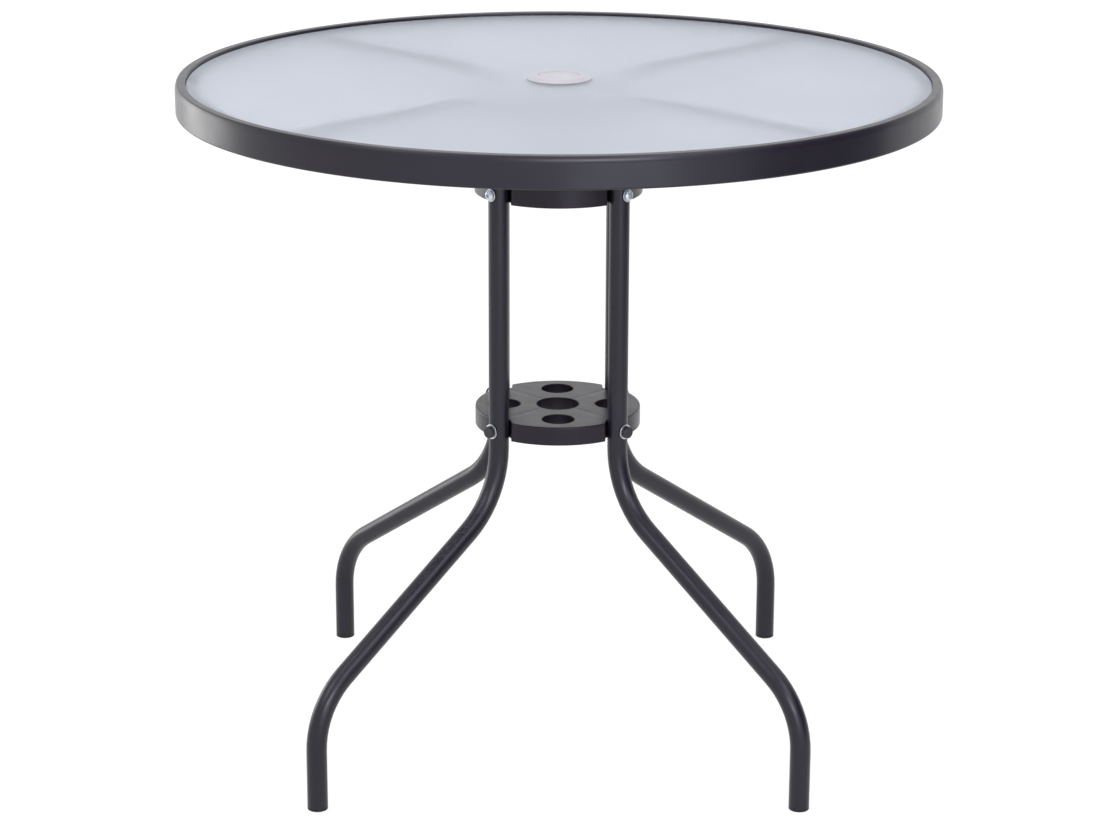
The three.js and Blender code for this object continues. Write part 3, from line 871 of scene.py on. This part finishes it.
def frosted_glass():
    finish = Finish("frosted_glass", Roughness=0.5, IOR=1.5, Transmission_Weight=0.85)
    cloudy = finish.ramp(finish.noise(5, 2), 0, 1)
    finish.use("Base Color", finish.mix(cloudy, (0.63, 0.67, 0.74), (0.67, 0.71, 0.78)))
    finish.use("Roughness", finish.ramp(finish.noise(700, 2), 0.44, 0.54))
    finish.bump([(finish.noise(900, 2), 0.006 * mm)])
    return finish.material


def clear_plastic():
    finish = Finish("clear_plastic", Roughness=0.3, IOR=1.47, Transmission_Weight=0.15,
                    Subsurface_Weight=0.7, Subsurface_Radius=(1, 1, 1), Subsurface_Scale=4 * mm)
    cloudy = finish.noise(80, 2)
    finish.use("Base Color", finish.mix(cloudy, (0.51, 0.49, 0.54), (0.55, 0.525, 0.58)))
    finish.use("Roughness", finish.ramp(finish.noise(60, 2), 0.28, 0.34))
    finish.bump([(finish.noise(70, 1), 0.01 * mm)])
    return finish.material


finishes = {
    "powder_coat": powder_coat(),
    "moulded_plastic": moulded_plastic(),
    "black_plastic": black_plastic(),
    "zinc": zinc(),
    "frosted_glass": frosted_glass(),
    "clear_plastic": clear_plastic(),
}


# Placing

def add(name, mesh, finish, node, body="frame", matrix=Matrix()):
    """Adds a copy of the mesh as a piece, in the place of a node of the frame."""
    own = mesh.copy()
    own.transform(matrix)
    own.materials.clear()
    own.materials.append(finishes[finish])
    piece = new_object(name, own)
    even = piece.modifiers.new("even_shading", "WEIGHTED_NORMAL")
    even.keep_sharp = True
    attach(piece, body)
    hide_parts(node)


def radial(angle, distance, height, spin=0):
    """Place of a piece built along Z that points out from the table's axis."""
    return (Matrix.Rotation(angle, 4, "Z") @ Matrix.Translation((distance, 0, height))
            @ lay_along_x @ Matrix.Rotation(spin, 4, "Z"))


def build_top():
    add("rim", rim_mesh(), "powder_coat", "rim_hoop")
    add("glass", glass_mesh(), "frosted_glass", "glass_top", "glass")
    add("glass_grommet", grommet_mesh(), "clear_plastic", "grommet", "glass")
    add("pole_hole_cap", hole_cap_mesh(), "clear_plastic", "hole_cap", "cap")
    pad = pad_mesh()
    for k, side in enumerate(sides_of_table):
        turn = Matrix.Rotation(k * quarter_turn, 4, "Z")
        add(f"pad_{side}", pad, "clear_plastic", f"glass_pad_{side}", matrix=turn)


def build_discs():
    disc = disc_mesh()
    for level, height in (("upper", disc_low.z), ("lower", lower_disc_low.z)):
        lift = Matrix.Translation((0, 0, height))
        add(f"spacer_disc_{level}", disc, "moulded_plastic", f"{level}_disc", matrix=lift)


def build_legs():
    leg, plug, spigot = leg_mesh(), foot_plug_mesh(), spigot_mesh()
    bolt = screw_mesh(bolt_radius, bolt_length, bolt_head_radius, bolt_head_height,
                      bolt_length - thread_length)
    arm_screw = screw_mesh(arm_screw_radius, arm_screw_length, arm_screw_head_radius,
                           arm_screw_head_height, arm_screw_thread_from)
    arm_screw_place = Matrix.Translation(
        (arm_end - arm_screw_inset, 0, arm_height - tube_radius - gap))
    nut, cap = nut_mesh(), bolt_cap_mesh()
    levels = (
        ("upper", upper_bolt_height, washer_mesh(upper_washer_radius)),
        ("lower", lower_bolt_height, washer_mesh(lower_washer_radius)),
    )
    for k, (corner, angle) in enumerate(zip(corners_of_table, diagonals)):
        turn = Matrix.Rotation(angle, 4, "Z")
        add(f"tube_leg_{corner}", leg, "powder_coat", f"leg_{corner}", matrix=turn)
        add(f"plug_{corner}", plug, "black_plastic", f"foot_plug_{corner}",
            matrix=turn @ Matrix.Translation((foot_circle, 0, 0)))
        add(f"spigot_{corner}", spigot, "powder_coat", f"arm_spigot_{corner}",
            matrix=radial(angle, spigot_end - spigot_length, arm_height))
        add(f"screw_{corner}", arm_screw, "zinc", f"arm_screw_{corner}",
            matrix=turn @ arm_screw_place @ upside_down)
        for level, height, washer in levels:
            spin = bolt_spin_step * k + height
            add(f"washer_{level}_{corner}", washer, "zinc", f"{level}_washer_{corner}",
                matrix=radial(angle, washer_seat, height))
            add(f"bolt_{level}_{corner}", bolt, "zinc", f"{level}_bolt_{corner}",
                matrix=radial(angle, head_seat, height, spin))
            add(f"nut_{level}_{corner}", nut, "zinc", f"{level}_nut_{corner}",
                matrix=radial(angle, nut_face - nut_thickness, height))
        add(f"cap_{corner}", cap, "black_plastic", f"bolt_cap_{corner}",
            matrix=radial(angle, head_seat, lower_bolt_height))


# Floor, light and camera

floor_radius = 16
floor_sides = 64
floor_grey = 0.8                   # for the light that it throws on the object
floor_seen_grey = 0.2              # for the shadow that the camera sees on it
floor_glow = (0.88, 1)             # near the object, and from afar
floor_fade = (1, 4)                # metres from the axis where the glow changes
world_fill = 0.25
card_grey = 0.02
white_light = (1, 1, 1)
cool_light = (0.88, 0.9, 1)
cooler_light = (0.85, 0.87, 1)
blue_light = (0.72, 0.80, 1)
sensor_width = 36                  # millimetres, as is the focal length
focal_length = 101.966
camera_place = (-0.0287, -3.2235, 1.3366)
camera_heading, camera_pitch, camera_roll = -0.00631, 0.29582, 0.00296


def grey(value):
    return (value, value, value, 1)


def mixed(nodes, links, share, first, second):
    """Shader between two shaders."""
    node = nodes.new("ShaderNodeMixShader")
    links.new(share, node.inputs["Fac"])
    links.new(first.outputs[0], node.inputs[1])
    links.new(second.outputs[0], node.inputs[2])
    return node


def seen_directly(nodes, links):
    """One where the camera, a reflection or the glass sees the surface, and nought elsewhere."""
    path = nodes.new("ShaderNodeLightPath")
    share = path.outputs["Is Camera Ray"]
    for ray in ("Is Glossy Ray", "Is Transmission Ray"):
        larger = nodes.new("ShaderNodeMath")
        larger.operation = "MAXIMUM"
        links.new(share, larger.inputs[0])
        links.new(path.outputs[ray], larger.inputs[1])
        share = larger.outputs[0]
    return share


def build_floor():
    """Pale floor, seen as white but for the shadow on it, and not seen from below."""
    bm = bmesh.new()
    bmesh.ops.create_circle(bm, cap_ends=True, segments=floor_sides, radius=floor_radius)
    floor = new_object("floor", plain_mesh(bm, "floor"))
    material = bpy.data.materials.new("floor")
    nodes, links = tree_of(material)
    nodes.clear()
    paper = nodes.new("ShaderNodeBsdfDiffuse")
    paper.inputs["Color"].default_value = grey(floor_grey)
    pale = nodes.new("ShaderNodeBsdfDiffuse")
    pale.inputs["Color"].default_value = grey(floor_seen_grey)
    glow = nodes.new("ShaderNodeEmission")
    place = nodes.new("ShaderNodeTexCoord")
    reach = nodes.new("ShaderNodeVectorMath")
    reach.operation = "LENGTH"
    links.new(place.outputs["Object"], reach.inputs[0])
    fade = map_range(nodes, links, reach.outputs["Value"], floor_fade, floor_glow)
    links.new(fade, glow.inputs["Strength"])
    seen = nodes.new("ShaderNodeAddShader")
    links.new(pale.outputs[0], seen.inputs[0])
    links.new(glow.outputs[0], seen.inputs[1])
    front = mixed(nodes, links, seen_directly(nodes, links), paper, seen)
    backfacing = nodes.new("ShaderNodeNewGeometry").outputs["Backfacing"]
    sided = mixed(nodes, links, backfacing, front, nodes.new("ShaderNodeBsdfTransparent"))
    output = nodes.new("ShaderNodeOutputMaterial")
    links.new(sided.outputs[0], output.inputs["Surface"])
    floor.data.materials.append(material)


def build_world():
    """Even grey light, and white where the camera, a reflection or the glass sees it."""
    world = bpy.data.worlds.new("studio")
    bpy.context.scene.world = world
    nodes, links = tree_of(world)
    nodes.clear()
    fill, white = (nodes.new("ShaderNodeBackground") for k in range(2))
    for background, strength in ((fill, world_fill), (white, 1)):
        background.inputs["Color"].default_value = grey(1)
        background.inputs["Strength"].default_value = strength
    mix = mixed(nodes, links, seen_directly(nodes, links), fill, white)
    output = nodes.new("ShaderNodeOutputWorld")
    links.new(mix.outputs[0], output.inputs["Surface"])


def turn_to(item, place, aim, axis):
    """Puts an object at a place and turns one of its axes towards the aim."""
    item.location = place
    item.rotation_mode = "QUATERNION"
    item.rotation_quaternion = (Vector(aim) - Vector(place)).to_track_quat(axis, "Y")


def softbox(name, place, aim, width, height, power, colour=white_light):
    """Lamp that the camera doesn't see, its size in metres and its power in watts."""
    light = bpy.data.lights.new(name, "AREA")
    light.color = colour
    light.shape = "RECTANGLE"
    light.size, light.size_y = width, height
    light.energy = power
    lamp = new_object(name, light)
    turn_to(lamp, place, aim, "-Z")
    lamp.visible_camera = False


def build_lights():
    softbox("overhead", (0, 0.4, 2.9), (0, 0, 0.5), 2.4, 2.4, 48)
    softbox("key_left", (-1.9, -1.4, 2.6), (0, 0, 0.6), 1.2, 1.4, 14)
    softbox("edge_left", (-2.31, 1.39, 0.6), (0, 0, 0.6), 1.4, 1.1, 15)
    softbox("low_front_right", (0.55, -1.85, 0.36), (0.1, -0.4, 0.7), 1.0, 0.35, 2.7, blue_light)
    softbox("front", (0.6, -3.25, 1.6), (0.05, -0.4, 0.4), 1.8, 0.5, 38, cool_light)
    softbox("high_right", (1.1, -1.55, 2.1), (0, 0, 0.3), 1.1, 1.1, 11, cooler_light)
    softbox("high_left", (-1.3, -1.4, 2.1), (0, 0, 0.3), 1.1, 1.1, 2, cooler_light)


def card(name, place, aim, width, height):
    """Dark card that only reflections see."""
    bm = bmesh.new()
    bmesh.ops.create_grid(bm, x_segments=1, y_segments=1, size=1)
    bmesh.ops.transform(bm, verts=bm.verts, matrix=Matrix.Diagonal((width / 2, height / 2, 1, 1)))
    panel = new_object(name, plain_mesh(bm, name))
    turn_to(panel, place, aim, "Z")
    panel.visible_camera = False
    panel.visible_diffuse = False
    panel.visible_transmission = False
    panel.visible_shadow = False
    material = bpy.data.materials.new(name)
    shader = tree_of(material)[0]["Principled BSDF"]
    shader.inputs["Base Color"].default_value = grey(card_grey)
    panel.data.materials.append(material)


def build_cards():
    card("card_right", (2.08, -0.48, 0.8), (0, 0, 0.6), 2.1, 1.6)


def build_camera():
    """The photograph's view: from in front and above, looking down at the table."""
    data = bpy.data.cameras.new("camera")
    data.sensor_width = sensor_width
    data.lens = focal_length
    camera = new_object("camera", data)
    camera.location = camera_place
    turn = (Matrix.Rotation(camera_heading, 4, "Z")
            @ Matrix.Rotation(quarter_turn - camera_pitch, 4, "X")
            @ Matrix.Rotation(camera_roll, 4, "Z"))
    camera.rotation_mode = "QUATERNION"
    camera.rotation_quaternion = turn.to_quaternion()
    bpy.context.scene.camera = camera


build_top()
build_discs()
build_legs()
build_floor()
build_world()
build_lights()
build_cards()
build_camera()
bpy.context.scene.view_settings.view_transform = "Standard"
